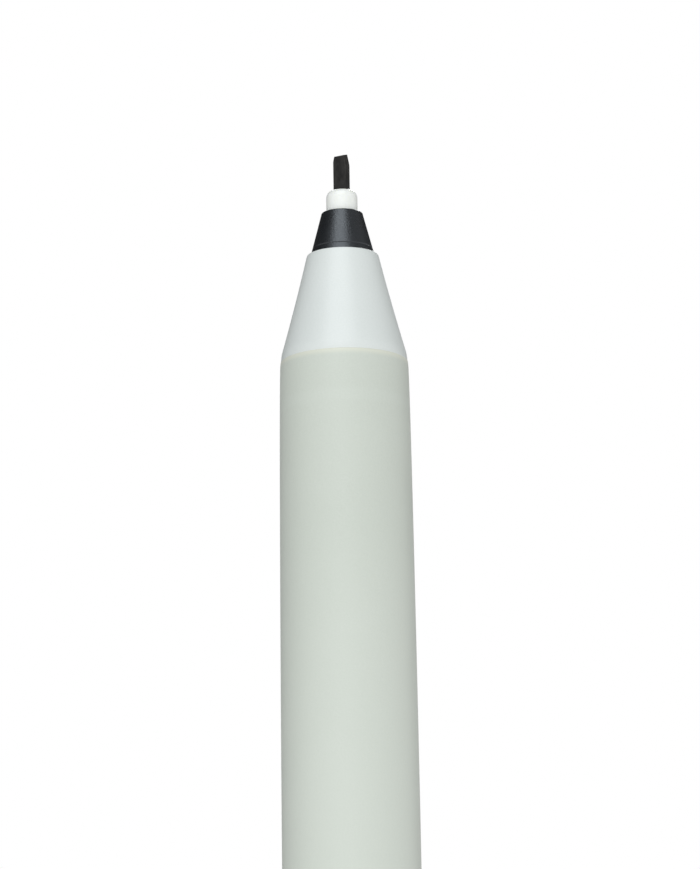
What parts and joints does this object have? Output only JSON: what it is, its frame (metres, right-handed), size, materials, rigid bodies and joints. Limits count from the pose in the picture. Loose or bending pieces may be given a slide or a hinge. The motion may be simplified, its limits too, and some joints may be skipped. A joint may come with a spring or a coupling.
{
  "type": "felt tip marker",
  "caption": "Round pale grey-green felt tip marker with a tapered front, black collar, white holder and dark chisel nib, its clip cap posted on the tail.",
  "frame": {"origin": "centre of the cap's closed end face, on which the marker stands", "axes": "+Z along the marker's axis, from the cap's end to the nib; -Y is the side that the clip is on"},
  "size_m": [0.0136, 0.0151, 0.1528],
  "materials": {
    "barrel_plastic": "satin moulded, pale grey-green",
    "cone_plastic": "satin moulded, cooler pale grey",
    "black_plastic": "satin moulded, black",
    "white_acetal": "smooth, slightly waxy white",
    "liner_plastic": "smooth natural white",
    "nib_fibre": "pressed fibre soaked with black ink",
    "ink_fibre": "bundled fibre soaked with black ink",
    "clear_film": "thin clear film",
    "spring_steel": "stamped and nickel plated, fine lengthwise grain"
  },
  "bodies": {
    "cap": {"cap_shell": "barrel_plastic", "cap_liner": "liner_plastic", "cap_end_plug": "black_plastic"},
    "marker": {"barrel": "barrel_plastic", "tail_plug": "black_plastic", "front_cone": "cone_plastic", "collar": "black_plastic", "nib_holder": "white_acetal", "nib": "nib_fibre", "ink_reservoir": "ink_fibre", "reservoir_wrap": "clear_film"},
    "pocket_clip": {"clip": "spring_steel"}
  },
  "joints": [
    {"name": "cap_pull_off", "type": "slide", "parent": "cap", "child": "marker", "axis": [0, 0, 1], "range_m": [0, 0.03]},
    {"name": "clip_flex", "type": "hinge", "parent": "cap", "child": "pocket_clip", "pos_m": [0, -0.0062, 0.0024], "axis": [1, 0, 0], "range_deg": [0, 6], "stiffness_Nm_per_rad": 0.6}
  ]
}
